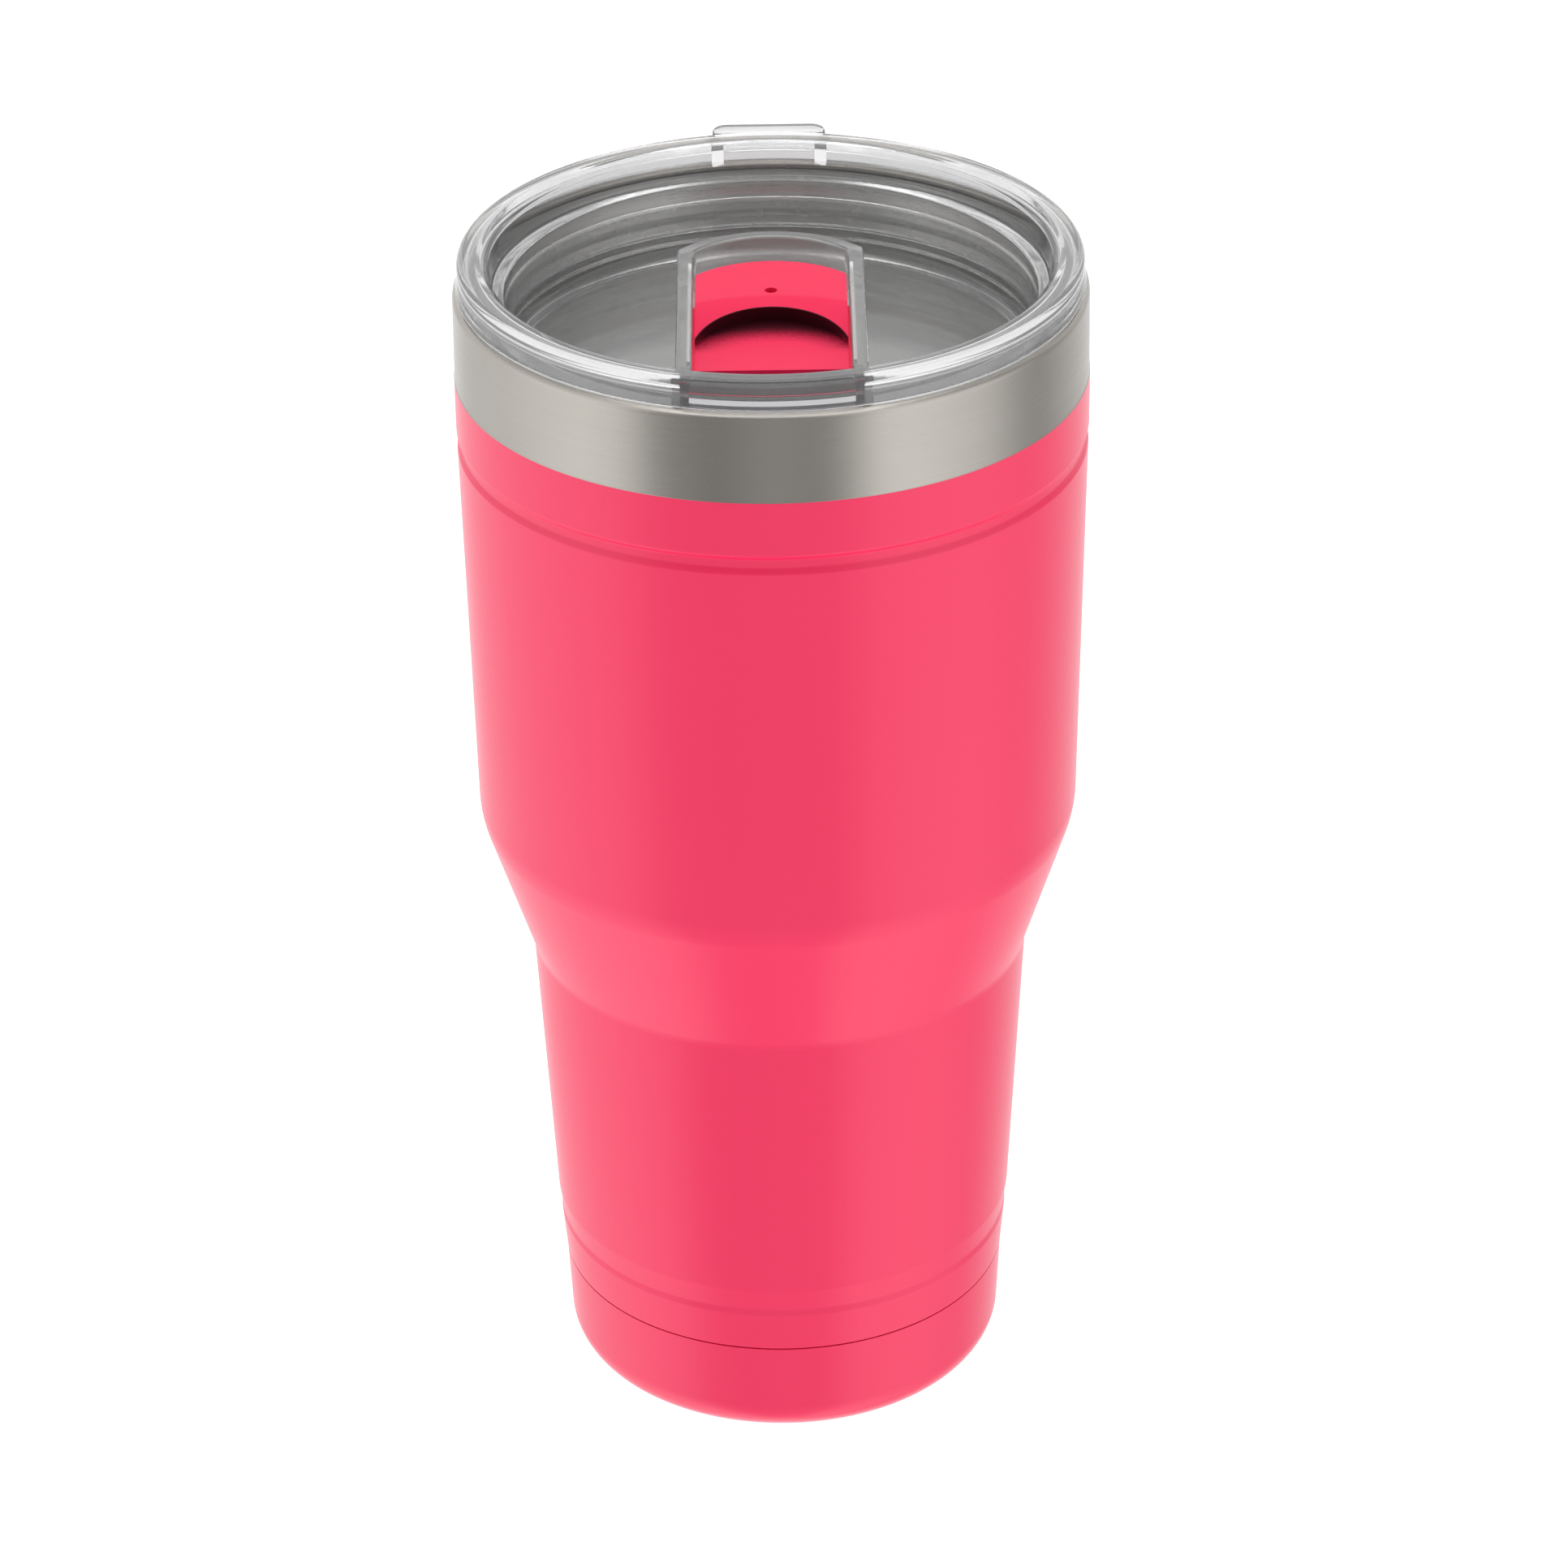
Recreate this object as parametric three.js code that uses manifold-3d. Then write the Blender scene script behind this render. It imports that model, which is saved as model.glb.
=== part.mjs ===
// Insulated tumbler with a press-in lid and a sliding closure.
// Millimetres, +Z up. The cup's axis is Z, it stands on z = 0, and the side
// that a person drinks from faces -Y. The lid is shown seated, its slider closed.
import * as THREE from "three";
import { mergeVertices } from "three/addons/utils/BufferGeometryUtils.js";
import Module from "manifold-3d";

const wasm = await Module();
wasm.setup();

// Facets round the axis, and steps in each rounded corner of a section.
const FACETS = 40;
const CORNER_STEPS = 3;
const GAP = 0.3; // between pieces that are welded, pressed or stuck together
const ABOVE = 210; // clear above everything, for what cuts from the top

// Cup: the outer wall, drawn as a narrow foot, a shoulder and a wide mouth.
const STEEL = 0.6;
const SEAM_Z = 18.8;
const SEAM_R = 37.5;
const FOOT_R = 36.5;
const FOOT_CORNER = 7;
const CREST_Z = 25.9; // soft roll above the foot, and the faint dip over it
const CREST_R = 38.12;
const DIP_Z = 27;
const DIP_R = 37.98;
const TAPER_Z = 31;
const TAPER_R = 38.56;
const WAIST_Z = 80.2;
const WAIST_R = 41.28;
const SHOULDER_Z = 105;
const SHOULDER_R = 49.35;
const SHOULDER_FILLET = 14.5;
const GROOVE_Z = 172.1; // rolled groove below the mouth
const GROOVE_HALF = 1.5;
const GROOVE_DEPTH = 0.45;
const MOUTH_R = 50.75;
const COATING_Z = 182.8; // the coating ends here and bare steel begins
const LIP_Z = 197.2;
const LIP_INNER_R = 48.4;

// Standing ring and the recess inside it.
const RING_INNER_R = 26.5;
const RECESS_R = 25.6;
const RECESS_Z = 2.6;
const SEAL_PIT_R = 6;
const SEAL_PIT_Z = 4.2;
const SEAL_HOLE_R = 0.8;
const SEAL_R = 2.2;
const COVER_THICKNESS = 0.9;

// Liner: the wall that touches the drink.
const LINER = 0.5;
const LINER_FLOOR_Z = 10.4;
const LINER_FLOOR_R = 33.4;
const LINER_WELD_Z = 18.5;
const LINER_WELD_R = 33.7;
const LINER_WAIST = [36.9, 81.2, 6];
const LINER_SHOULDER = [45.1, 106.4, 11];
const LINER_MOUTH = [46.9, 183];
const LINER_TAPER = [47.35, 190];
const LINER_LIP_R = 48.2;
const FOIL = 0.2;
const FOIL_LOW_Z = 24;
const FOIL_HIGH_Z = 178;

// Getter under the liner's floor.
const GETTER_R = 5;
const GETTER_Z = [6.4, 8.4];
const CLIP_LENGTH = 20;
const CLIP_WIDTH = 6;
const CLIP_THICKNESS = 0.5;

// Lid.
const LID_TOP_Z = 202.5;
const FLANGE_R = 49.7;
const SKIRT_R = 50.1;
const FLANGE_INNER = [[46.2, 202.35, 1], [44.8, 201.2], [44.2, 197]];
const SKIRT_Z = LIP_Z + GAP;
const DISH_R = 42;
const DISH_Z = 184.5;
const DISH_EDGE = [42.2, 196.2, 0.5];
const LID_WALL = 1.8;
const CHANNEL_R = [46.3, 48.3];
const CHANNEL_TOP_Z = 200.5;
const PLUG_R = 44;
const COLLAR_R = 45.6;
const GASKET_SEAT_R = 44.4;
const GASKET_Z = [187.7, 192.6];
const GASKET_LIP_R = 46.95;
const TAB_ROOT = 18.7;
const TAB_TIP = 13.8;
const TAB_Y = 53.2;
const TAB_INNER_Y = 48.6;
const TAB_THICKNESS = 2.4;
const RIB_THICKNESS = 2;
const BACK_RIB_X = 8.6;

// Slider track: two side walls and a rounded back, standing on the dish floor,
// with a raised deck between them that is open below.
const TRACK_OUTER = { half: 14.8, radius: 19, apex: 11.4 };
const TRACK_INNER = { half: 12.2, radius: 16, apex: 9.2 };
const TRACK_TOP_Z = 201;
const DECK_Z = 194.6;
const TRACK_FRONT_R = 44.2;
const GUIDE_DEPTH = 0.9;
const GUIDE_HEIGHT = 2;
const SIP_SLOT = { half: 9, front: -33.2, back: -28.4 };
const VENT = { y: -2.5, radius: 1.5 };

// Slider.
const SLIDER_TOP_Z = 200.5;
const SLIDER_HALF = 11.9;
const SLIDER_BACK = { radius: 16, apex: 0.4 };
const SLIDER_FRONT_Y = -34.6;
const SLIDER_PLATE_Z = 197.1;
const SLIDER_TRAVEL = 8.5;
const TONGUE_HALF = 12.75;
const TONGUE_HEIGHT = 1.4;
const CREASE_Y = -12.5; // behind it the top is level, ahead of it the top rolls down
const CREASE_R = 28.6; // the crease is curved in plan
const NOSE_RUN = 9.6; // from the crease forward to where the roll meets the plate
const NOSE_SLOPE = 0.14; // at the crease, so that it shows
const NOSE_STEPS = 6;
const SCOOP = { radius: 13.5, apex: -16 };
const SLIDER_VENT_R = 1;
const SEAL_PAD = { half: 10.4, front: -33.9, back: -27.7, height: 1 };

// ---------------------------------------------------------------- geometry

// Corners are [x, y] or [x, y, fillet]. A corner with a fillet becomes an arc.
function rounded(corners) {
  const points = [];
  corners.forEach(([x, y, fillet], i) => {
    const corner = new THREE.Vector2(x, y);
    if (!fillet) {
      points.push(corner);
      return;
    }
    const back = new THREE.Vector2(...corners[i - 1]).sub(corner).normalize();
    const ahead = new THREE.Vector2(...corners[i + 1]).sub(corner).normalize();
    const half = Math.acos(back.dot(ahead)) / 2;
    const middle = back.clone().add(ahead).normalize();
    const centre = corner.clone().addScaledVector(middle, fillet / Math.sin(half));
    const first = corner.clone().addScaledVector(back, fillet / Math.tan(half)).sub(centre);
    const turn = (Math.PI - 2 * half) * Math.sign(ahead.cross(back));
    for (let k = 0; k <= CORNER_STEPS; k += 1) {
      const spoke = first.clone().rotateAround(new THREE.Vector2(), (turn * k) / CORNER_STEPS);
      points.push(centre.clone().add(spoke));
    }
  });
  return points;
}

// The same line moved sideways to its left by a distance, with mitred corners.
function moved(points, distance) {
  return points.map((point, i) => {
    const before = points[Math.max(i - 1, 0)];
    const after = points[Math.min(i + 1, points.length - 1)];
    const ways = [point.clone().sub(before), after.clone().sub(point)]
      .filter((way) => way.lengthSq() > 1e-9)
      .map((way) => new THREE.Vector2(-way.y, way.x).normalize());
    const normal = ways.reduce((sum, way) => sum.add(way), new THREE.Vector2()).normalize();
    return point.clone().addScaledVector(normal, distance / normal.dot(ways[0]));
  });
}

// A ring or dish turned from a closed section, given anticlockwise (radius, height).
function turned(section, facets = FACETS) {
  const points = section.map(([x, y]) => new THREE.Vector2(x, y));
  const onAxis = points[0].x === 0 && points[points.length - 1].x === 0;
  if (!onAxis) points.push(points[0].clone());
  return new THREE.LatheGeometry(points, facets).rotateX(Math.PI / 2);
}

// A sheet-metal piece: an outer line, drawn upwards, and the same line moved inwards.
function sheet(outer, thickness, facets = FACETS) {
  const line = rounded(outer);
  const inner = moved(line, thickness).reverse();
  return turned([...line, ...inner].map((point) => [point.x, point.y]), facets);
}

// A flat outline pulled up from one height to another.
function prism(shape, low, high, curveSegments = 16) {
  const options = { depth: high - low, bevelEnabled: false, curveSegments };
  return new THREE.ExtrudeGeometry(shape, options).translate(0, 0, low);
}

function box(x, y, z) {
  const size = [x, y, z].map(([low, high]) => high - low);
  const middle = [x, y, z].map(([low, high]) => (low + high) / 2);
  return new THREE.BoxGeometry(...size).translate(...middle);
}

function cylinder(radius, low, high, facets = FACETS) {
  const geometry = new THREE.CylinderGeometry(radius, radius, high - low, facets);
  return geometry.rotateX(Math.PI / 2).translate(0, 0, (low + high) / 2);
}

// A closed mesh as a solid that can be joined and cut.
function solid(geometry) {
  geometry.deleteAttribute("normal");
  geometry.deleteAttribute("uv");
  const merged = mergeVertices(geometry, 1e-4);
  const index = merged.index.array;
  const kept = [];
  for (let i = 0; i < index.length; i += 3) {
    const [a, b, c] = index.slice(i, i + 3);
    if (a !== b && b !== c && c !== a) kept.push(a, b, c);
  }
  const vertProperties = new Float32Array(merged.attributes.position.array);
  const mesh = { numProp: 3, vertProperties, triVerts: new Uint32Array(kept) };
  return new wasm.Manifold(new wasm.Mesh(mesh));
}

function surface(body) {
  const { vertProperties, triVerts } = body.getMesh();
  const geometry = new THREE.BufferGeometry();
  geometry.setAttribute("position", new THREE.BufferAttribute(vertProperties, 3));
  geometry.setIndex(new THREE.BufferAttribute(triVerts, 1));
  geometry.computeVertexNormals();
  return geometry;
}

const joined = (pieces) => pieces.reduce((whole, piece) => whole.add(piece));

// ---------------------------------------------------------------- cup

function outerShell() {
  const grooveLow = GROOVE_Z - GROOVE_HALF;
  const grooveHigh = GROOVE_Z + GROOVE_HALF;
  const line = [
    [SEAM_R, SEAM_Z + GAP / 2],
    [CREST_R, CREST_Z],
    [DIP_R, DIP_Z],
    [TAPER_R, TAPER_Z],
    [WAIST_R, WAIST_Z, 5],
    [SHOULDER_R, SHOULDER_Z, SHOULDER_FILLET],
    [MOUTH_R - 0.1, grooveLow],
    [MOUTH_R - GROOVE_DEPTH, grooveLow + 0.8],
    [MOUTH_R - GROOVE_DEPTH, grooveHigh - 0.8],
    [MOUTH_R, grooveHigh],
    [MOUTH_R, COATING_Z],
    [MOUTH_R - 0.2, LIP_Z, 1.1],
    [LIP_INNER_R, LIP_Z - 0.1],
  ];
  return sheet(line, STEEL);
}

function baseCup() {
  const line = [
    [SEAL_HOLE_R, SEAL_PIT_Z],
    [SEAL_R + 0.6, SEAL_PIT_Z],
    [SEAL_PIT_R, RECESS_Z],
    [RECESS_R, RECESS_Z, 1],
    [RING_INNER_R, 0],
    [FOOT_R, 0, FOOT_CORNER],
    [SEAM_R - 0.05, SEAM_Z - GAP / 2],
  ];
  return sheet(line, STEEL);
}

// A thin pressed disc that hides the pinched-off seal.
function baseCover() {
  const top = RECESS_Z - GAP;
  return cylinder(RECESS_R - 2 * GAP, top - COVER_THICKNESS, top);
}

// The bead of solder glass that closes the hole the air was drawn through.
function vacuumSeal() {
  const top = SEAL_PIT_Z - GAP;
  const dome = [[0, top - 0.9], [SEAL_R * 0.7, top - 0.7], [SEAL_R, top], [0, top]];
  return turned(dome, 16);
}

// The wetted surface of the liner, upwards from the weld to the lip.
function linerLine(lowZ, highZ) {
  const corners = [
    [LINER_WELD_R, LINER_WELD_Z],
    LINER_WAIST,
    LINER_SHOULDER,
    LINER_MOUTH,
    LINER_TAPER,
    [LINER_LIP_R, LIP_Z - STEEL - 3],
    [LINER_LIP_R, LIP_Z - STEEL - 0.5],
  ];
  const line = rounded(corners);
  const inside = line.filter((point) => point.y > lowZ && point.y < highZ);
  return [lineAt(line, lowZ), ...inside, lineAt(line, highZ)];
}

// The point of a rising line at a height.
function lineAt(line, height) {
  const next = Math.max(1, line.findIndex((point) => point.y >= height));
  const [low, high] = [line[next - 1], line[next]];
  return low.clone().lerp(high, (height - low.y) / (high.y - low.y));
}

// A layer that follows the liner, from one distance outside its wetted face to another.
function linerLayer(lowZ, highZ, near, far) {
  const line = linerLine(lowZ, highZ);
  const outside = moved(line, -far);
  const inside = moved(line, -near).reverse();
  return turned([...outside, ...inside].map((point) => [point.x, point.y]));
}

const innerLiner = () => linerLayer(LINER_WELD_Z + GAP, LIP_Z - STEEL - 0.5, 0, LINER);

const reflectiveFoil = () =>
  linerLayer(FOIL_LOW_Z, FOIL_HIGH_Z, LINER + GAP, LINER + GAP + FOIL);

function linerFloor() {
  const outside = [
    [0, LINER_FLOOR_Z - LINER],
    [LINER_FLOOR_R + LINER, LINER_FLOOR_Z, 7],
    [LINER_WELD_R + LINER, LINER_WELD_Z],
  ];
  return sheet(outside, LINER);
}

function getter() {
  return cylinder(GETTER_R, GETTER_Z[0], GETTER_Z[1], 24);
}

// A spot-welded strap: a flat bridge under the getter with two bent-up ends.
function getterClip() {
  const half = CLIP_LENGTH / 2;
  const low = GETTER_Z[0] - GAP - CLIP_THICKNESS;
  const high = LINER_FLOOR_Z - LINER - GAP;
  const inner = GETTER_R + 1;
  const t = CLIP_THICKNESS;
  const outline = [
    [-half, high - t], [-inner - t, high - t], [-inner - t, low], [inner + t, low],
    [inner + t, high - t], [half, high - t], [half, high], [inner, high],
    [inner, low + t], [-inner, low + t], [-inner, high], [-half, high],
  ];
  const shape = new THREE.Shape(outline.map(([x, z]) => new THREE.Vector2(x, z)));
  const strap = prism(shape, -CLIP_WIDTH / 2, CLIP_WIDTH / 2);
  return strap.rotateX(Math.PI / 2);
}

// ---------------------------------------------------------------- lid

// Plan outline of the track or of a piece in it: straight sides and an arc at the back.
function trackOutline({ half, radius, apex }, front) {
  const middle = apex - radius;
  const reach = Math.asin(half / radius);
  const shape = new THREE.Shape();
  shape.moveTo(-half, front);
  shape.lineTo(half, front);
  shape.absarc(0, middle, radius, Math.PI / 2 - reach, Math.PI / 2 + reach, false);
  shape.closePath();
  return shape;
}

function lidSection() {
  const flangeLow = LID_TOP_Z - TAB_THICKNESS;
  const [gasketLow, gasketHigh] = GASKET_Z;
  const corners = [
    [0, DISH_Z - LID_WALL],
    [PLUG_R, DISH_Z - LID_WALL, 1.2],
    [PLUG_R, gasketLow - 1.7],
    [COLLAR_R, gasketLow - 1.7],
    [COLLAR_R, gasketLow],
    [GASKET_SEAT_R, gasketLow],
    [GASKET_SEAT_R, gasketHigh],
    [CHANNEL_R[0], gasketHigh],
    [CHANNEL_R[0], CHANNEL_TOP_Z],
    [CHANNEL_R[1], CHANNEL_TOP_Z],
    [CHANNEL_R[1] + GAP, SKIRT_Z],
    [SKIRT_R, SKIRT_Z],
    [FLANGE_R - 0.2, flangeLow],
    [FLANGE_R, flangeLow + 0.3],
    [FLANGE_R, LID_TOP_Z, 1.2],
    ...FLANGE_INNER,
    DISH_EDGE,
    [DISH_R, DISH_Z, 2],
    [0, DISH_Z],
  ];
  return rounded(corners).map((point) => [point.x, point.y]);
}

// Fills the hollow under the flange where a rib or block crosses it.
function channelFill(x, y) {
  const fill = solid(box(x, y, [SKIRT_Z + 0.6, CHANNEL_TOP_Z + 0.3]));
  const ring = solid(cylinder(CHANNEL_R[1] + 0.4, SKIRT_Z, LID_TOP_Z))
    .subtract(solid(cylinder(CHANNEL_R[0] - 0.3, SKIRT_Z - 1, LID_TOP_Z + 1)));
  return fill.intersect(ring);
}

function thumbTab() {
  const [root, tip] = [TAB_ROOT / 2, TAB_TIP / 2];
  const corner = TAB_Y - 1.6;
  const outline = [
    [-root, TAB_INNER_Y], [root, TAB_INNER_Y], [root, corner - 0.8],
    [tip, TAB_Y], [-tip, TAB_Y], [-root, corner - 0.8],
  ];
  const shape = new THREE.Shape(outline.map(([x, y]) => new THREE.Vector2(x, y)));
  return solid(prism(shape, LID_TOP_Z - TAB_THICKNESS, LID_TOP_Z - 0.2));
}

function trackWalls() {
  const outside = solid(prism(trackOutline(TRACK_OUTER, -46), DISH_Z - 1, TRACK_TOP_Z));
  const inside = solid(prism(trackOutline(TRACK_INNER, -47), DISH_Z - 2, LID_TOP_Z));
  const deck = solid(prism(trackOutline(TRACK_INNER, -46), DECK_Z - LID_WALL, DECK_Z));
  return outside.subtract(inside).add(deck);
}

// Everything that is open in the track: the run of the slider, its guide grooves,
// the passage under the deck, the slot to drink through and the air vent.
function trackSpaces() {
  const run = solid(prism(trackOutline(TRACK_INNER, -46), DECK_Z, LID_TOP_Z + 1))
    .intersect(solid(cylinder(TRACK_FRONT_R, DECK_Z - 1, LID_TOP_Z + 2)));
  const passage = solid(prism(trackOutline(TRACK_INNER, -46), DISH_Z - 3, DECK_Z - LID_WALL))
    .intersect(solid(cylinder(DISH_R - 1.2, DISH_Z - 4, DECK_Z)));
  const guideHalf = TRACK_INNER.half + GUIDE_DEPTH;
  const guideY = [SLIDER_FRONT_Y - 0.6, 2];
  const guide = solid(box([-guideHalf, guideHalf], guideY, [DECK_Z, DECK_Z + GUIDE_HEIGHT]));
  const { half, front, back } = SIP_SLOT;
  const slot = solid(box([-half, half], [front, back], [DECK_Z - 3, DECK_Z + 1]));
  const hole = cylinder(VENT.radius, DECK_Z - 3, DECK_Z + 1, 16).translate(0, VENT.y, 0);
  return joined([run, passage, guide, slot, solid(hole)]);
}

function lidBody() {
  const ribs = [-1, 1].map((side) => {
    const x = side * BACK_RIB_X;
    return channelFill([x - RIB_THICKNESS / 2, x + RIB_THICKNESS / 2], [40, 50]);
  });
  const spout = channelFill([-TRACK_OUTER.half + 1, TRACK_OUTER.half - 1], [-50, -40]);
  const inDish = solid(cylinder(DISH_R + 1, DISH_Z - 2, LID_TOP_Z));
  const inRing = solid(cylinder(TRACK_FRONT_R + 0.8, GASKET_Z[1] + 1, LID_TOP_Z));
  const track = trackWalls().intersect(inDish.add(inRing));
  const whole = joined([solid(turned(lidSection())), ...ribs, spout, thumbTab(), track]);
  return surface(whole.subtract(trackSpaces()));
}

// Silicone ring with two soft lips, stretched into the groove of the plug.
function lidGasket() {
  const [low, high] = [GASKET_Z[0] + GAP, GASKET_Z[1] - GAP];
  const inner = GASKET_SEAT_R + GAP;
  const waist = GASKET_LIP_R - 0.9;
  const middle = (low + high) / 2;
  return turned([
    [inner, low], [waist, low], [GASKET_LIP_R, low + 0.9], [waist, middle - 0.3],
    [waist, middle + 0.3], [GASKET_LIP_R, high - 0.5], [waist, high], [inner, high],
  ]);
}

// ---------------------------------------------------------------- slider

// What is cut from above the slider's front: a bowl that drops from the curved crease
// to the level of the front plate.
function aboveNose() {
  const drop = SLIDER_TOP_Z - SLIDER_PLATE_Z;
  const section = [[0, SLIDER_PLATE_Z]];
  for (let k = NOSE_STEPS; k >= 0; k -= 1) {
    const part = k / NOSE_STEPS;
    const even = NOSE_SLOPE * NOSE_RUN * part;
    const curved = (drop - NOSE_SLOPE * NOSE_RUN) * part ** 2;
    section.push([CREASE_R - NOSE_RUN * part, SLIDER_TOP_Z - even - curved]);
  }
  section.push([CREASE_R, ABOVE], [0, ABOVE]);
  return solid(turned(section, 96)).translate([0, CREASE_Y - CREASE_R, 0]);
}

function slider() {
  const bottom = DECK_Z + GAP;
  const plan = { half: SLIDER_HALF, ...SLIDER_BACK };
  const body = solid(prism(trackOutline(plan, SLIDER_FRONT_Y), bottom, SLIDER_TOP_Z));
  const tongueX = [-TONGUE_HALF, TONGUE_HALF];
  const tongue = solid(box(tongueX, [SLIDER_FRONT_Y, -8], [bottom, bottom + TONGUE_HEIGHT]));
  const scoop = solid(cylinder(SCOOP.radius, SLIDER_PLATE_Z, ABOVE, 64))
    .translate([0, SCOOP.apex - SCOOP.radius, 0]);
  const { half, front, back, height } = SEAL_PAD;
  const seatX = [-half - GAP, half + GAP];
  const seat = solid(box(seatX, [front - 1, back + GAP], [bottom - 1, bottom + height + GAP]));
  const vent = solid(cylinder(SLIDER_VENT_R, bottom - 1, ABOVE, 16))
    .translate([0, VENT.y - SLIDER_TRAVEL, 0]);
  return surface(body.subtract(aboveNose()).subtract(scoop).add(tongue).subtract(seat.add(vent)));
}

// Soft pad under the slider that covers the drinking slot.
function sliderSeal() {
  const { half, front, back, height } = SEAL_PAD;
  const bottom = DECK_Z + GAP;
  return box([-half, half], [front, back], [bottom, bottom + height]);
}

// ---------------------------------------------------------------- assembly

const coated = { color: 0xfe4a70, roughness: 0.55, metalness: 0 };
const steel = { color: 0xb4b2aa, roughness: 0.35, metalness: 1 };
const foil = { color: 0xcfd2d4, roughness: 0.25, metalness: 1 };
const clear = { color: 0xe8eaea, roughness: 0.05, metalness: 0, transparent: true, opacity: 0.35 };
const silicone = { color: 0xd8d8d6, roughness: 0.6, metalness: 0 };
const ceramic = { color: 0x6b6660, roughness: 0.8, metalness: 0 };
const closure = { color: 0xf8456a, roughness: 0.3, metalness: 0 };

const pieces = [
  ["outer_shell", outerShell(), coated],
  ["base_cup", baseCup(), coated],
  ["base_cover", baseCover(), steel],
  ["vacuum_seal", vacuumSeal(), ceramic],
  ["inner_liner", innerLiner(), steel],
  ["liner_floor", linerFloor(), steel],
  ["reflective_foil", reflectiveFoil(), foil],
  ["getter", getter(), ceramic],
  ["getter_clip", getterClip(), steel],
  ["lid_body", lidBody(), clear],
  ["lid_gasket", lidGasket(), silicone],
  ["slider", slider(), closure],
  ["slider_seal", sliderSeal(), silicone],
];

const tumbler = new THREE.Group();
for (const [name, geometry, finish] of pieces) {
  const mesh = new THREE.Mesh(geometry, new THREE.MeshStandardMaterial(finish));
  mesh.name = name;
  tumbler.add(mesh);
}

export default tumbler;
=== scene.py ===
import math

import bmesh
import bpy
from mathutils import Euler, Matrix, Vector


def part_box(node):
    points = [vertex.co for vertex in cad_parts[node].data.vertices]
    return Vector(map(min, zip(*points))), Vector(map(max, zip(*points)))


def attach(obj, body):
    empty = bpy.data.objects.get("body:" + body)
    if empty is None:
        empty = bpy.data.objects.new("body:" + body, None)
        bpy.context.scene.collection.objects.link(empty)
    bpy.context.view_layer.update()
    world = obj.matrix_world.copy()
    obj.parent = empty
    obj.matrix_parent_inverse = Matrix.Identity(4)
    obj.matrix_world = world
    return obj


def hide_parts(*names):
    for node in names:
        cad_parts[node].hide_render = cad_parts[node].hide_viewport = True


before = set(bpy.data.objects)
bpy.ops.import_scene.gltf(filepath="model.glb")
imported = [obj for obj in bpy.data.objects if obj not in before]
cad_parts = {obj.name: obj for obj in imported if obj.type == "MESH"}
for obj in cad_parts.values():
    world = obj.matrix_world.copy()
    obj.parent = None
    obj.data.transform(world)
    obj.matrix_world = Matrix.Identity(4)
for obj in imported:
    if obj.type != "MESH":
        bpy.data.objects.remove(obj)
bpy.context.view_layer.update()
bpy.ops.object.select_all(action="DESELECT")

# --- The view -------------------------------------------------------------------------------
# The tumbler stands on a table and is looked down on from the side that a person drinks from,
# through a long lens, so the lid shows its whole dish and the foot still shows its seam.
VIEW_DISTANCE = 0.850
VIEW_HEIGHT = 0.5724
VIEW_PITCH = math.radians(28.74)
VIEW_YAW = math.radians(0.07)
VIEW_ROLL = math.radians(-0.76)
LENS = 134.1

camera = bpy.data.objects.new("view", bpy.data.cameras.new("view"))
bpy.context.scene.collection.objects.link(camera)
camera.data.lens = LENS
camera.data.sensor_width = 36
camera.data.clip_start = 0.05
camera.matrix_world = (
    Matrix.Translation((0, -VIEW_DISTANCE, VIEW_HEIGHT))
    @ Euler((math.pi / 2 - VIEW_PITCH, 0, -VIEW_YAW)).to_matrix().to_4x4()
    @ Matrix.Rotation(VIEW_ROLL, 4, "Z")
)
bpy.context.scene.camera = camera


# --- Outer wall -----------------------------------------------------------------------------
# A stainless steel tube, drawn and blown to shape: foot, waist, shoulder and a rolled groove
# under the mouth. It is powder coated up to a masked line, and brushed bare above it, where
# it is rolled over and welded to the liner. Everything turned is drawn ring by ring.
SIDES = 192
SHEET = 0.0006
SHELL_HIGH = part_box("outer_shell")[1]
FOOT_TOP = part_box("base_cup")[1].z
MOUTH_RADIUS = SHELL_HIGH.x
COATING_TOP = 0.1828
COATING_STEP = 0.00008
GROOVE = 0.1721
GROOVE_DEPTH = 0.0006
LIP_RADIUS = 0.0484


def activate(piece):
    """Makes a piece the only one that the operators work on."""
    bpy.ops.object.select_all(action="DESELECT")
    bpy.context.view_layer.objects.active = piece
    piece.select_set(True)


def first_ring(name, radius, height):
    """A new piece that is one ring of edges so far, selected in edit mode."""
    bpy.ops.object.select_all(action="DESELECT")
    bpy.ops.mesh.primitive_circle_add(vertices=SIDES, radius=radius, location=(0, 0, height))
    bpy.ops.object.transform_apply()
    piece = bpy.context.object
    piece.name = name
    bpy.ops.object.mode_set(mode="EDIT")
    bpy.ops.mesh.select_all(action="SELECT")
    return piece


def pick(piece, wanted):
    """Selects the points for which wanted(radius, height, point) holds, and what they bound."""
    shape = bmesh.from_edit_mesh(piece.data)
    for part in (*shape.faces, *shape.edges):
        part.select = False
    for point in shape.verts:
        point.select = wanted(math.hypot(point.co.x, point.co.y), point.co.z, point)
    shape.select_flush(True)
    bmesh.update_edit_mesh(piece.data)


def near(radius, height, reach=2e-5):
    return lambda r, z, _: abs(r - radius) < reach and abs(z - height) < reach


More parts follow.
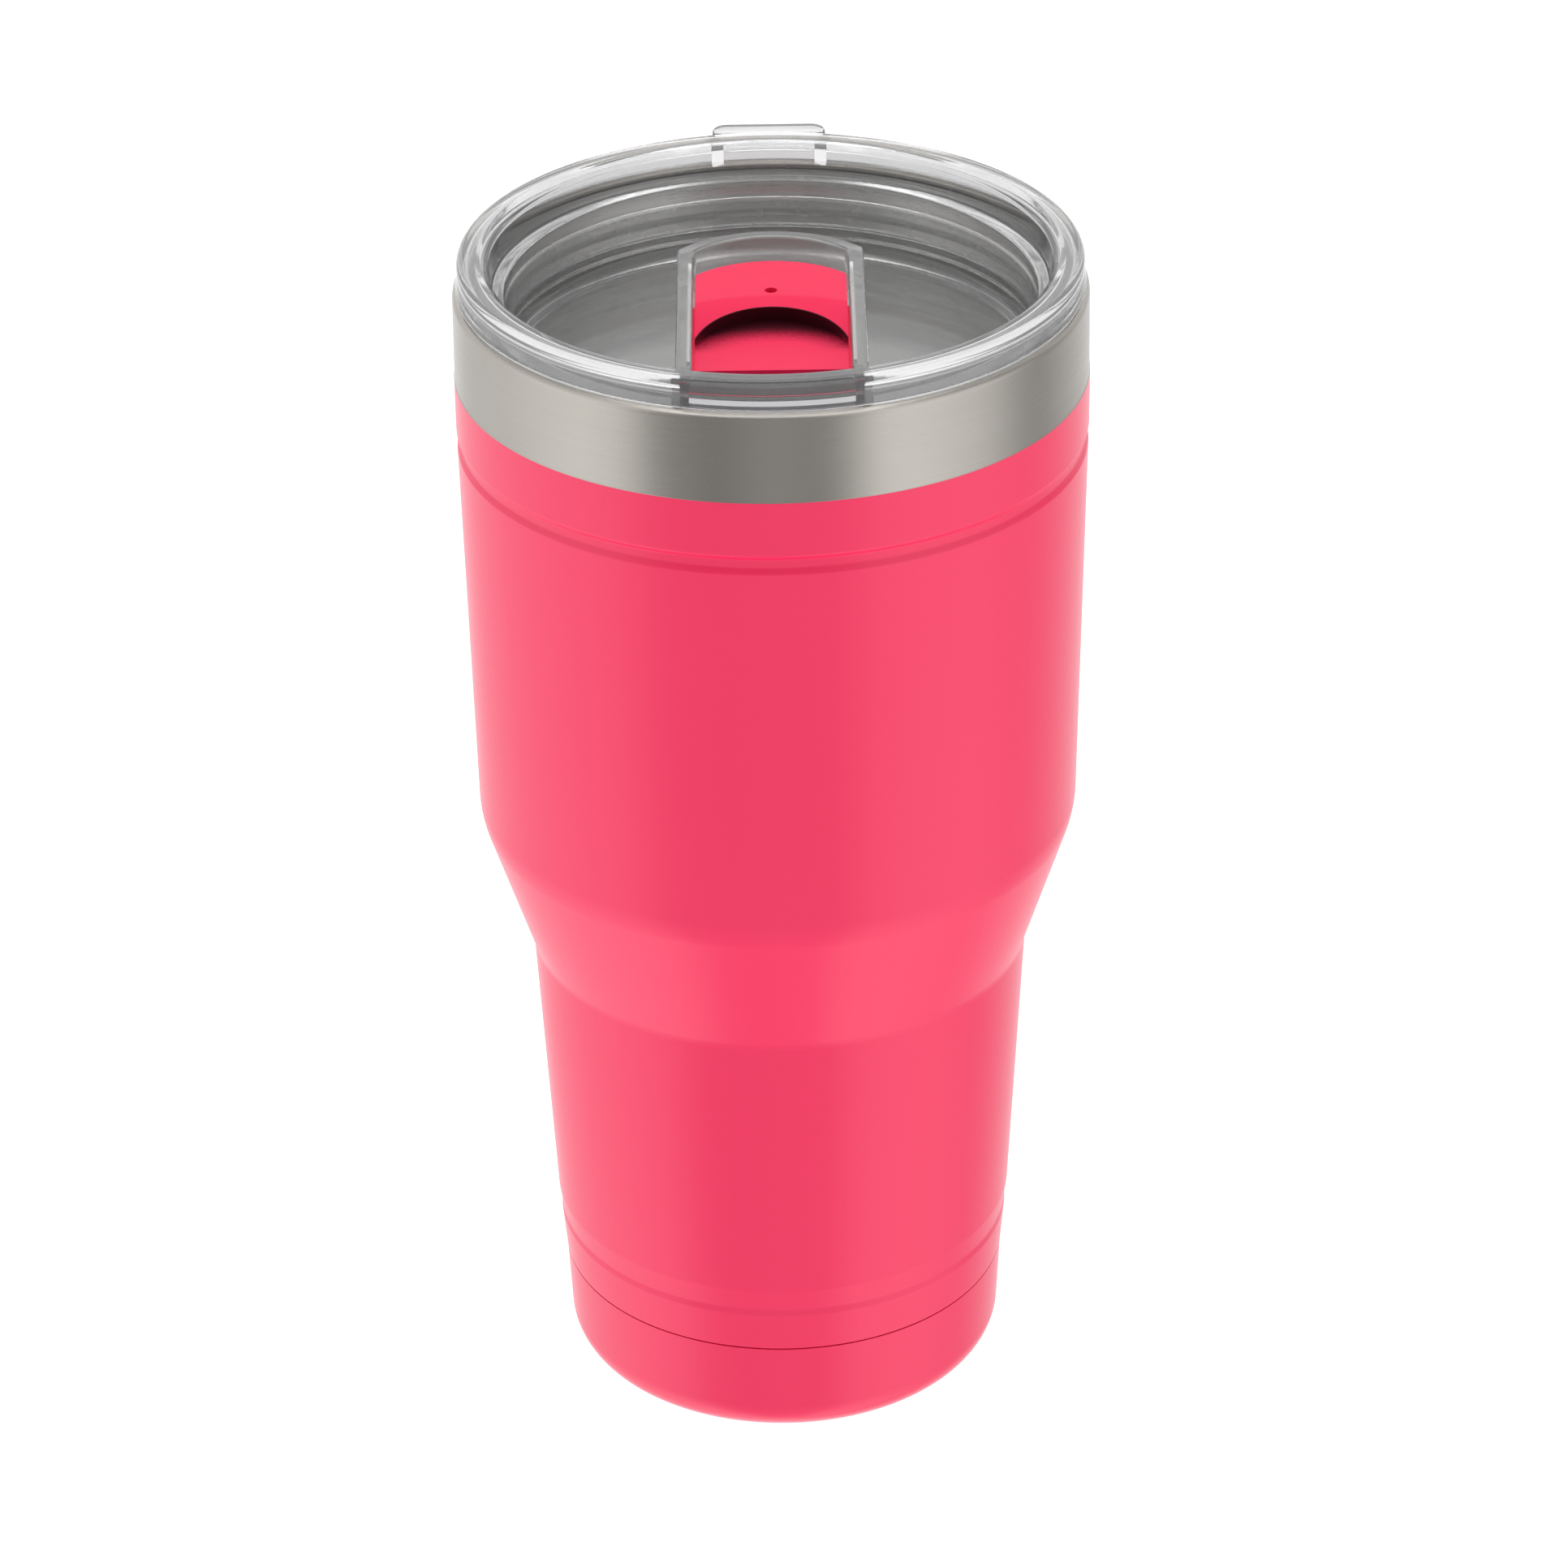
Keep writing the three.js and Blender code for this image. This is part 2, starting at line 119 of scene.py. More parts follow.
def turned(name, line, closed=False):
    """Draws the rings of line, which are (radius, height) or (radius, height, fillet, steps),
    and rounds those that have a fillet. A closed line comes back to its first ring."""
    piece = first_ring(name, *line[0][:2])
    for (was_radius, was_height, *_), (radius, height, *_) in zip(line, line[1:]):
        rise = (0, 0, height - was_height)
        bpy.ops.mesh.extrude_region_move(TRANSFORM_OT_translate={"value": rise})
        grow = radius / was_radius
        bpy.ops.transform.resize(value=(grow, grow, 1), center_override=(0, 0, height))
    if closed:
        first, last = near(*line[0][:2]), near(*line[-1][:2])
        pick(piece, lambda r, z, v: first(r, z, v) or last(r, z, v))
        bpy.ops.mesh.bridge_edge_loops()
    corners = [(i, ring) for i, ring in enumerate(line) if len(ring) > 2]
    for i, (radius, height, fillet, steps) in corners:
        here = Vector((radius, height))
        before = (Vector(line[i - 1][:2]) - here).normalized()
        after = (Vector(line[(i + 1) % len(line)][:2]) - here).normalized()
        reach = fillet / math.tan(before.angle(after) / 2)
        pick(piece, near(radius, height))
        bpy.ops.mesh.bevel(
            offset=reach, offset_type="OFFSET", segments=steps, profile=0.5, affect="EDGES"
        )
    bpy.ops.mesh.select_all(action="SELECT")
    bpy.ops.mesh.normals_make_consistent(inside=False)
    bpy.ops.object.mode_set(mode="OBJECT")
    return piece


def modify(piece, kind, **settings):
    """Adds a modifier with these settings and applies it."""
    activate(piece)
    bpy.ops.object.modifier_add(type=kind)
    modifier = piece.modifiers[-1]
    for setting, value in settings.items():
        setattr(modifier, setting, value)
    bpy.ops.object.modifier_apply(modifier=modifier.name)


def smooth(piece, angle=35):
    """Shades a piece smooth up to an angle, with its wide faces kept flat."""
    activate(piece)
    bpy.ops.object.shade_smooth_by_angle(angle=math.radians(angle))
    modify(piece, "WEIGHTED_NORMAL", weight=80, keep_sharp=True)


class Amount:
    """A number that varies over a surface. Sums and products of it add Math nodes."""

    def __init__(self, tree, socket):
        self.tree = tree
        self.socket = socket

    def __add__(self, other):
        return calculate(self.tree, "ADD", self, other)

    def __sub__(self, other):
        return calculate(self.tree, "SUBTRACT", self, other)

    def __rsub__(self, other):
        return calculate(self.tree, "SUBTRACT", other, self)

    def __mul__(self, other):
        return calculate(self.tree, "MULTIPLY", self, other)

    __radd__ = __add__
    __rmul__ = __mul__


def calculate(tree, operation, *values):
    node = tree.nodes.new("ShaderNodeMath")
    node.operation = operation
    for socket, value in zip(node.inputs, values):
        plug(tree, socket, value)
    return Amount(tree, node.outputs[0])


def plug(tree, socket, value):
    """Sets a socket to a constant, or links it to an amount or another node's socket."""
    if isinstance(value, Amount):
        value = value.socket
    if isinstance(value, bpy.types.NodeSocket):
        tree.links.new(value, socket)
    else:
        socket.default_value = value


class Finish:
    """A material in the making. Constants go on the shader's own sockets."""

    def __init__(self, name, **constants):
        self.material = bpy.data.materials.new(name)
        self.material.use_nodes = True
        self.tree = self.material.node_tree
        self.shader = self.tree.nodes["Principled BSDF"]
        self.output = self.tree.nodes["Material Output"]
        self.place = self.node("ShaderNodeTexCoord").outputs["Object"]
        for name, value in constants.items():
            self.shader.inputs[name.replace("_", " ")].default_value = value

    def node(self, kind, settings=None, **inputs):
        node = self.tree.nodes.new(kind)
        for name, value in (settings or {}).items():
            setattr(node, name, value)
        for name, value in inputs.items():
            plug(self.tree, node.inputs[name.replace("_", " ")], value)
        return node

    def split(self, vector):
        """The three amounts of a vector."""
        axes = self.node("ShaderNodeSeparateXYZ", Vector=vector).outputs
        return [Amount(self.tree, axis) for axis in axes]

    def noise(self, size, stretch=(1, 1, 1), detail=2.0, roughness=0.5):
        """Noise between 0 and 1 whose blotches are about size metres, stretched by axis."""
        scale = [1 / (size * s) for s in stretch]
        spread = self.node("ShaderNodeMapping", Vector=self.place, Scale=scale)
        node = self.node(
            "ShaderNodeTexNoise",
            Vector=spread.outputs[0],
            Scale=1.0,
            Detail=detail,
            Roughness=roughness,
        )
        return Amount(self.tree, node.outputs[0])

    def ramp(self, amount, start, end):
        """Rises smoothly from 0, where the amount is start, to 1, where it is end."""
        settings = {"interpolation_type": "SMOOTHSTEP"}
        node = self.node("ShaderNodeMapRange", settings)
        for socket, value in zip(node.inputs, (amount, start, end)):
            plug(self.tree, socket, value)
        return Amount(self.tree, node.outputs[0])

    def blend(self, amount, low, high):
        """A colour between two, by an amount."""
        node = self.node("ShaderNodeMix", {"data_type": "RGBA"})
        plug(self.tree, node.inputs[0], amount)
        plug(self.tree, node.inputs[6], low)
        plug(self.tree, node.inputs[7], high)
        return node.outputs[2]

    def feed(self, **inputs):
        for name, value in inputs.items():
            plug(self.tree, self.shader.inputs[name.replace("_", " ")], value)

    def relief(self, height, depth, strength=1.0):
        """Raises the surface by height, a varying amount, times depth in metres."""
        node = self.node("ShaderNodeBump", Height=height, Distance=depth, Strength=strength)
        self.feed(Normal=node.outputs[0])


def cover(piece, *finishes):
    piece.data.materials.clear()
    for finish in finishes:
        piece.data.materials.append(finish.material)


CORAL = (0.95, 0.012, 0.104, 1)
CORAL_DEEP = (0.93, 0.009, 0.096, 1)
STEEL = (0.53, 0.505, 0.468, 1)
STEEL_SHADE = (0.44, 0.415, 0.375, 1)


def powder_coat():
    """Baked powder: an even satin colour on a very fine orange peel."""
    coat = Finish(
        "powder_coat", Coat_Weight=0.75, Coat_Roughness=0.25, Specular_IOR_Level=0.35
    )
    peel = coat.noise(0.0011, detail=1.0)
    grain = coat.noise(0.00035, detail=1.0)
    drift = coat.noise(0.05, detail=1.0)
    coat.feed(
        Base_Color=coat.blend(drift, CORAL_DEEP, CORAL),
        Roughness=0.40 + 0.06 * grain + 0.04 * drift,
    )
    coat.relief(peel * 0.6 + grain * 0.4, 0.00003)
    return coat


def brushed_steel(name, shade, light):
    """Bare steel, brushed round the axis, so that its highlights run up and down."""
    steel = Finish(name, Metallic=1.0, Anisotropic=0.8, Anisotropic_Rotation=0.25)
    lines = steel.noise(0.00006, stretch=(400, 400, 1), detail=3.0, roughness=0.7)
    bands = steel.noise(0.0006, stretch=(90, 90, 1), detail=2.0)
    cloud = steel.noise(0.014, detail=2.0)
    steel.feed(
        Base_Color=steel.blend(lines * 0.5 + cloud * 0.5, shade, light),
        Roughness=0.20 + 0.10 * bands + 0.06 * cloud,
    )
    steel.relief(lines * 0.7 + bands * 0.3, 0.000012)
    return steel


coating = powder_coat()
steel_finish = brushed_steel("brushed_steel", STEEL_SHADE, STEEL)

shell_line = [
    (0.0375, FOOT_TOP + 0.0003),
    (0.03812, 0.0259, 0.0012, 4),
    (0.03798, 0.0270, 0.0012, 4),
    (0.03856, 0.0310, 0.0040, 4),
    (0.04128, 0.0802, 0.0055, 8),
    (0.04935, 0.1050, 0.0145, 16),
    (0.05066, GROOVE - 0.0016, 0.0006, 4),
    (0.05068 - GROOVE_DEPTH, GROOVE - 0.0007, 0.0006, 4),
    (0.05070 - GROOVE_DEPTH, GROOVE + 0.0007, 0.0006, 4),
    (0.05074, GROOVE + 0.0016, 0.0006, 4),
    (MOUTH_RADIUS, COATING_TOP - 0.00010),
    (MOUTH_RADIUS - COATING_STEP, COATING_TOP),
    (MOUTH_RADIUS - 0.00022, SHELL_HIGH.z, 0.0010, 8),
    (LIP_RADIUS, SHELL_HIGH.z - 0.0001, 0.0004, 4),
    (LIP_RADIUS, SHELL_HIGH.z - 0.0008),
]
wall = turned("outer_wall", shell_line)
modify(wall, "SOLIDIFY", thickness=SHEET, offset=-1, use_even_offset=True)
cover(wall, coating, steel_finish)
for face in wall.data.polygons:
    face.material_index = int(face.center.z > COATING_TOP - 0.00008)
smooth(wall)
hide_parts("outer_shell")
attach(wall, "tumbler")


# --- Foot -----------------------------------------------------------------------------------
# A drawn steel cup closes the vacuum from below. It meets the wall at a fine seam, is coated
# with it in one go, and stands on a ring round a shallow recess.
FOOT_RADIUS = 0.0365
FOOT_CORNER = 0.0070
SEAL_PIT = 0.0042
RECESS_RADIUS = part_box("base_cover")[1].x + 0.0006
RECESS_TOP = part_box("base_cover")[1].z + 0.0003

foot_line = [
    (0.0008, SEAL_PIT),
    (0.0028, SEAL_PIT, 0.0006, 3),
    (0.0060, RECESS_TOP, 0.0015, 3),
    (RECESS_RADIUS, RECESS_TOP, 0.0010, 5),
    (0.0265, 0.0, 0.0006, 4),
    (FOOT_RADIUS, 0.0, FOOT_CORNER, 16),
    (0.03745, FOOT_TOP),
]
foot = turned("foot_cup", foot_line)
modify(foot, "SOLIDIFY", thickness=SHEET, offset=-1, use_even_offset=True)
cover(foot, coating)
smooth(foot)
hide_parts("base_cup")
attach(foot, "tumbler")


# --- Cover under the foot -------------------------------------------------------------------
# A thin pressed disc of the same steel, stuck into the recess to hide the sealed pit.
# It has a rolled edge and a shallow step, and it is left bare.
COVER_LOW, COVER_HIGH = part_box("base_cover")

cover_line = [
    (0.0030, COVER_LOW.z + 0.0003),
    (0.0180, COVER_LOW.z + 0.0003, 0.002, 4),
    (0.0192, COVER_LOW.z, 0.002, 4),
    (COVER_HIGH.x, COVER_LOW.z, 0.0003, 4),
    (COVER_HIGH.x, COVER_HIGH.z, 0.0001, 2),
    (0.0030, COVER_HIGH.z),
]


def close_ends(piece, *rings):
    """Fills the innermost rings of a disc with a face each."""
    activate(piece)
    bpy.ops.object.mode_set(mode="EDIT")
    for radius, height, *_ in rings:
        pick(piece, near(radius, height))
        bpy.ops.mesh.edge_face_add()
    bpy.ops.mesh.select_all(action="SELECT")
    bpy.ops.mesh.normals_make_consistent(inside=False)
    bpy.ops.object.mode_set(mode="OBJECT")


plate = turned("foot_plate", cover_line)
close_ends(plate, cover_line[0], cover_line[-1])
cover(plate, steel_finish)
smooth(plate)
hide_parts("base_cover")
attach(plate, "tumbler")


# --- Liner ----------------------------------------------------------------------------------
# The wall that touches the drink: a second, slimmer steel tube, welded to the outer wall at
# the lip, with a pressed floor welded in. It is brushed round the axis as well.
LINER_SHEET = 0.0005
LINER_LOW, LINER_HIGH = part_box("inner_liner")
LINER_MOUTH = LINER_HIGH.x - LINER_SHEET
FLOOR_LOW, FLOOR_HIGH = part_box("liner_floor")

liner_line = [
    (0.0337, LINER_LOW.z),
    (0.0369, 0.0812, 0.006, 6),
    (0.0451, 0.1064, 0.011, 8),
    (0.0469, 0.1830, 0.02, 4),
    (0.04735, 0.1900, 0.004, 4),
    (LINER_MOUTH, 0.1936, 0.002, 4),
    (LINER_MOUTH, LINER_HIGH.z),
]
liner_finish = brushed_steel("liner_steel", (0.66, 0.65, 0.63, 1), (0.78, 0.77, 0.75, 1))
liner = turned("liner_wall", liner_line)
modify(liner, "SOLIDIFY", thickness=LINER_SHEET, offset=1, use_even_offset=True)
cover(liner, liner_finish)
smooth(liner)
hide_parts("inner_liner")
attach(liner, "tumbler")

floor_line = [
    (0.0030, FLOOR_LOW.z + 0.0001, 0.05, 2),
    (FLOOR_HIGH.x - 0.0003, FLOOR_LOW.z + 0.0009, 0.0070, 10),
    (FLOOR_HIGH.x, FLOOR_HIGH.z),
]
cup_floor = turned("liner_base", floor_line)
close_ends(cup_floor, floor_line[0])
modify(cup_floor, "SOLIDIFY", thickness=LINER_SHEET, offset=-1, use_even_offset=True)
cover(cup_floor, liner_finish)
smooth(cup_floor)
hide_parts("liner_floor")
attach(cup_floor, "tumbler")


# --- Inside the vacuum ----------------------------------------------------------------------
# A wrap of bright foil round the liner, a getter pellet held under its floor by a spot-welded
# strap, and the bead of solder glass over the hole that the air was drawn through. None shows.
def crinkled_foil():
    foil = Finish("bright_foil", Metallic=1.0)
    crease = foil.noise(0.006, detail=3.0)
    foil.feed(
        Base_Color=foil.blend(crease, (0.70, 0.71, 0.72, 1), (0.86, 0.87, 0.88, 1)),
        Roughness=0.16 + 0.2 * crease,
    )
    foil.relief(crease, 0.0004)
    return foil


def sintered_powder():
    pellet = Finish("getter_alloy", Metallic=0.6)
    grain = pellet.noise(0.0004, detail=2.0)
    pellet.feed(
        Base_Color=pellet.blend(grain, (0.10, 0.095, 0.09, 1), (0.24, 0.23, 0.22, 1)),
        Roughness=0.6 + 0.3 * grain,
    )
    pellet.relief(grain, 0.00008)
    return pellet


def fired_glass():
    bead = Finish("solder_glass", Coat_Weight=0.4)
    flow = bead.noise(0.0015, detail=1.0)
    bead.feed(
        Base_Color=bead.blend(flow, (0.03, 0.03, 0.028, 1), (0.07, 0.066, 0.06, 1)),
        Roughness=0.12 + 0.15 * flow,
    )
    bead.relief(flow, 0.0001)
    return bead


for node_name, finish in (
    ("reflective_foil", crinkled_foil()),
    ("getter", sintered_powder()),
    ("getter_clip", steel_finish),
    ("vacuum_seal", fired_glass()),
):
    cover(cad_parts[node_name], finish)


# --- Lid ------------------------------------------------------------------------------------
# One clear copolyester moulding: a crowned flange that is hollow underneath, a thumb tab, a
# plug with a groove for the gasket, a deep dish, and the walls and deck of the slider's track.
LID_LOW, LID_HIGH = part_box("lid_body")
LID_TOP = 0.2025
FLANGE_RADIUS = 0.0497
SKIRT_LOW = SHELL_HIGH.z + 0.0003
DISH_FLOOR = 0.1845
DISH_RADIUS = 0.042
CHANNEL = (0.0463, 0.0483)
CHANNEL_TOP = 0.2005
GASKET_GROOVE = (0.1877, 0.1926)
TRACK_HALF = 0.0148
TRACK_WALL = 0.0026
TRACK_TOP = 0.2010
TRACK_BACK = 0.0114
TRACK_RADIUS = 0.019
RUN_HALF = TRACK_HALF - TRACK_WALL
RUN_BACK = 0.0092
RUN_RADIUS = 0.016
DECK_TOP = 0.1946
DECK = 0.0018
UNDER_WALL = RUN_HALF + TRACK_WALL / 2
TAB_HALF = 0.00935
TAB_ROOT = 0.0486
TAB_THICKNESS = 0.0024
RIB_X = 0.0086
RIB_HALF = 0.001
SLOT_HALF = 0.009
SLOT_FRONT = -0.0332
SLOT_BACK = -0.0284
LID_VENT = 0.0015
LID_VENT_Y = -0.0025

lid_line = [
    (0.0030, LID_LOW.z),
    (0.0440, LID_LOW.z, 0.0012, 5),
    (0.0440, 0.1860, 0.0003, 2),
    (0.0456, 0.1860, 0.0004, 3),
    (0.0456, GASKET_GROOVE[0], 0.0002, 2),
    (0.0444, GASKET_GROOVE[0]),
    (0.0444, GASKET_GROOVE[1]),
    (CHANNEL[0], GASKET_GROOVE[1], 0.0002, 2),
    (CHANNEL[0], CHANNEL_TOP, 0.0006, 4),
    (CHANNEL[1], CHANNEL_TOP, 0.0006, 4),
    (CHANNEL[1] + 0.0003, SKIRT_LOW, 0.0002, 2),
    (LID_HIGH.x, SKIRT_LOW, 0.0004, 3),
    (FLANGE_RADIUS - 0.0002, LID_TOP - 0.0025, 0.0003, 3),
    (FLANGE_RADIUS, LID_TOP - 0.0022, 0.0002, 3),
    (FLANGE_RADIUS, LID_TOP, 0.0011, 8),
    (0.0462, LID_TOP - 0.0001, 0.0014, 6),
    (0.0448, LID_TOP - 0.0013, 0.0005, 4),
    (0.0442, 0.1970, 0.0008, 4),
    (DISH_RADIUS + 0.0004, 0.1963, 0.0008, 5),
    (DISH_RADIUS, DISH_FLOOR, 0.0026, 8),
    (0.0030, DISH_FLOOR),
]


def middle_of(edge):
    return (edge.verts[0].co + edge.verts[1].co) / 2


def round_edges(piece, width, steps, wanted=lambda edge: True):
    """Rounds the edges of a piece for which wanted(edge) holds."""
    activate(piece)
    bpy.ops.object.mode_set(mode="EDIT")
    bpy.ops.mesh.select_mode(type="EDGE")
    bpy.ops.mesh.select_all(action="DESELECT")
    shape = bmesh.from_edit_mesh(piece.data)
    for edge in shape.edges:
        edge.select_set(wanted(edge))
    bmesh.update_edit_mesh(piece.data)
    bpy.ops.mesh.bevel(
        offset=width, offset_type="OFFSET", segments=steps, profile=0.5, affect="EDGES"
    )
    bpy.ops.mesh.select_mode(type="VERT")
    bpy.ops.object.mode_set(mode="OBJECT")


def upright(edge):
    return abs(edge.verts[0].co.z - edge.verts[1].co.z) > 0.001


def block(name, low, high):
    """A rectangular solid between two corners."""
    bpy.ops.object.select_all(action="DESELECT")
    middle = (Vector(low) + Vector(high)) / 2
    bpy.ops.mesh.primitive_cube_add(size=1, location=middle)
    piece = bpy.context.object
    piece.name = name
    piece.scale = Vector(high) - Vector(low)
    bpy.ops.object.transform_apply()
    return piece


def drum(name, radius, low, high, x=0.0, y=0.0, sides=SIDES):
    """An upright cylinder."""
    bpy.ops.object.select_all(action="DESELECT")
    bpy.ops.mesh.primitive_cylinder_add(
        vertices=sides, radius=radius, depth=high - low, location=(x, y, (low + high) / 2)
    )
    bpy.ops.object.transform_apply()
    bpy.context.object.name = name
    return bpy.context.object


def combine(piece, operation, *tools):
    """Joins tools to a piece, cuts them from it or keeps what they share, and removes them."""
    for tool in tools:
        modify(piece, "BOOLEAN", operation=operation, object=tool, solver="MANIFOLD")
        bpy.data.objects.remove(tool)
    return piece


def arch(name, half, front, back, radius, low, high, corner=0.0):
    """A block with straight sides and, in plan, a round back. Its back corners may be rounded."""
    body = block(name, (-half, front, low), (half, back + 0.001, high))
    around = drum("arch_back", radius, low - 0.001, high + 0.001, y=back - radius, sides=128)
    ahead = (half + 0.001, back - radius, high + 0.001)
    combine(around, "UNION", block("arch_rest", (-ahead[0], front - 0.001, low - 0.001), ahead))
    combine(body, "INTERSECT", around)
    if corner:
        round_edges(body, corner, 6, lambda edge: (
            abs(middle_of(edge).y - back) < half
            and edge.calc_length() > 0.9 * (high - low)
            and edge.calc_face_angle() > 0.5
        ))
    return body


def fill_channel(name, x_low, x_high, y_low, y_high):
    """A rib across the hollow of the flange."""
    ring = drum(name, CHANNEL[1] + 0.0004, SKIRT_LOW + 0.0006, CHANNEL_TOP + 0.0004)
    combine(ring, "DIFFERENCE", drum("ring_hole", CHANNEL[0] - 0.0003, SKIRT_LOW, LID_TOP))
    slab = block("rib_slab", (x_low, y_low, SKIRT_LOW), (x_high, y_high, LID_TOP))
    return combine(ring, "INTERSECT", slab)


lid = turned("clear_lid", lid_line)
close_ends(lid, lid_line[0], lid_line[-1])

# The walls of the track, with rounded tops, a groove in each and the deck between them.
track_low = LID_LOW.z + 0.0003
track = arch("track", TRACK_HALF, -0.046, TRACK_BACK, TRACK_RADIUS, track_low, TRACK_TOP, 0.003)
inside = arch("track_run", RUN_HALF, -0.048, RUN_BACK, RUN_RADIUS, 0.18, 0.205, 0.0015)
combine(track, "DIFFERENCE", inside)
modify(
    track, "BEVEL", width=0.0005, segments=3, limit_method="ANGLE", angle_limit=math.radians(50)
)
guide = block("guide", (-0.0131, -0.0352, DECK_TOP - 0.0001), (0.0131, 0.002, DECK_TOP + 0.002))
combine(track, "DIFFERENCE", guide)
deck_low = DECK_TOP - DECK
deck = arch("deck", RUN_HALF + 0.0004, -0.0465, 0.0094, 0.0162, deck_low, DECK_TOP)
combine(track, "UNION", deck)
in_dish = drum("in_dish", DISH_RADIUS + 0.001, DISH_FLOOR - 0.002, LID_TOP)
combine(in_dish, "UNION", drum("in_ring", 0.0450, GASKET_GROOVE[1] + 0.001, LID_TOP + 0.001))
combine(track, "INTERSECT", in_dish)

# The dish is opened where the track stands in it: above the deck as far as the flange, and
# below the deck for the drink to reach the slot. The walls hide the edges of both cuts.
run = arch("run", UNDER_WALL, -0.047, 0.0100, 0.0175, DECK_TOP - DECK / 2, 0.205)
combine(run, "INTERSECT", drum("run_front", 0.0442, DECK_TOP - 0.003, 0.206))
passage = arch("passage", UNDER_WALL, -0.047, 0.0103, 0.0175, 0.178, DECK_TOP - DECK * 0.7)
combine(passage, "INTERSECT", drum("passage_front", DISH_RADIUS - 0.0012, 0.17, DECK_TOP))
combine(lid, "DIFFERENCE", run, passage)

tab = block(
    "tab",
    (-TAB_HALF, TAB_ROOT, LID_TOP - TAB_THICKNESS),
    (TAB_HALF, LID_HIGH.y, LID_TOP - 0.0002),
)
round_edges(tab, 0.0024, 5, lambda edge: upright(edge) and middle_of(edge).y > 0.050)
round_edges(tab, 0.0005, 3, lambda edge: edge.calc_face_angle() > 0.9)
ribs = [
    fill_channel(f"rib_{side}", side * RIB_X - RIB_HALF, side * RIB_X + RIB_HALF, 0.04, 0.05)
    for side in (-1, 1)
]
spout = fill_channel("spout", 0.001 - TRACK_HALF, TRACK_HALF - 0.001, -0.05, -0.04)
combine(lid, "UNION", track, tab, spout, *ribs)

slot = block("slot", (-SLOT_HALF, SLOT_FRONT, 0.19), (SLOT_HALF, SLOT_BACK, 0.196))
round_edges(slot, 0.002, 4, upright)
vent = drum("vent", LID_VENT, 0.19, 0.196, y=LID_VENT_Y, sides=48)
combine(lid, "DIFFERENCE", slot, vent)


def clear_plastic():
    """Clear copolyester, greyer on its flange, tab and spout, partly as the tint of thick plastic
    and partly as painted shade. Lamps shine through its thin walls.
    """
    clear = Finish("clear_plastic", Transmission_Weight=0.94, IOR=1.50)
    wave = clear.noise(0.012, detail=1.0)
    scuff = clear.noise(0.0012, detail=3.0)
    x, y, _ = clear.split(clear.place)
    radius = calculate(clear.tree, "SQRT", x * x + y * y)
    # The flange is greyed, partly as the plastic's tint and partly as painted shade.
    ring_tint_and_shade = clear.ramp(radius, 0.0432, 0.0446) - wave * 0.2

    # The tab and the spout are solid plastic and painted the greyest: their tint and painted shade.
    aside = calculate(clear.tree, "ABSOLUTE", x)
    tab_part = clear.ramp(radius, 0.0509, 0.0513)
    spout_part = clear.ramp(aside, 0.0142, 0.0138) * clear.ramp(y, -0.040, -0.041)
    solid_tint_and_shade = calculate(clear.tree, "MAXIMUM", tab_part, spout_part)
    clear_or_ring_shade = clear.blend(ring_tint_and_shade, (0.975, 0.975, 0.975, 1), (0.76, 0.76, 0.765, 1))
    clear.feed(
        Base_Color=clear.blend(solid_tint_and_shade, clear_or_ring_shade, (0.55, 0.55, 0.56, 1)),
        Roughness=0.05 + 0.05 * scuff,
    )
    clear.relief(wave, 0.00003)
    see_through = clear.node("ShaderNodeBsdfTransparent", Color=(0.96, 0.96, 0.96, 1))
    rays = clear.node("ShaderNodeLightPath")
    both = clear.node("ShaderNodeMixShader", Fac=rays.outputs["Is Shadow Ray"])
    clear.tree.links.new(clear.shader.outputs[0], both.inputs[1])
    clear.tree.links.new(see_through.outputs[0], both.inputs[2])
    clear.tree.links.new(both.outputs[0], clear.output.inputs["Surface"])
    return clear


cover(lid, clear_plastic())
smooth(lid, 30)
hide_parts("lid_body")
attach(lid, "lid")


# --- Gasket ---------------------------------------------------------------------------------
# A translucent silicone ring with two soft lips, stretched into the groove of the plug.
GASKET_LOW, GASKET_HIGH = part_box("lid_gasket")
GASKET_WAIST = GASKET_HIGH.x - 0.0009
GASKET_INNER = 0.0447
gasket_middle = (GASKET_LOW.z + GASKET_HIGH.z) / 2

gasket_line = [
    (GASKET_INNER, GASKET_LOW.z),
    (GASKET_WAIST, GASKET_LOW.z, 0.0002, 3),
    (GASKET_HIGH.x, GASKET_LOW.z + 0.0009, 0.0002, 4),
    (GASKET_WAIST, gasket_middle - 0.0003, 0.0002, 3),
    (GASKET_WAIST, gasket_middle + 0.0003, 0.0002, 3),
    (GASKET_HIGH.x, GASKET_HIGH.z - 0.0005, 0.0002, 4),
    (GASKET_WAIST, GASKET_HIGH.z, 0.0002, 3),
    (GASKET_INNER, GASKET_HIGH.z),
]


def silicone():
    """Frosted, slightly cloudy silicone."""
    rubber = Finish("clear_silicone", Transmission_Weight=0.9, IOR=1.41)
    haze = rubber.noise(0.004, detail=2.0)
    rubber.feed(
        Base_Color=rubber.blend(haze, (0.86, 0.86, 0.85, 1), (0.94, 0.94, 0.93, 1)),
        Roughness=0.20 + 0.12 * haze,
    )
    rubber.relief(haze, 0.00004)
    return rubber


silicone_finish = silicone()
gasket = turned("gasket", gasket_line, closed=True)
cover(gasket, silicone_finish)
smooth(gasket)
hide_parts("lid_gasket")
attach(gasket, "lid")


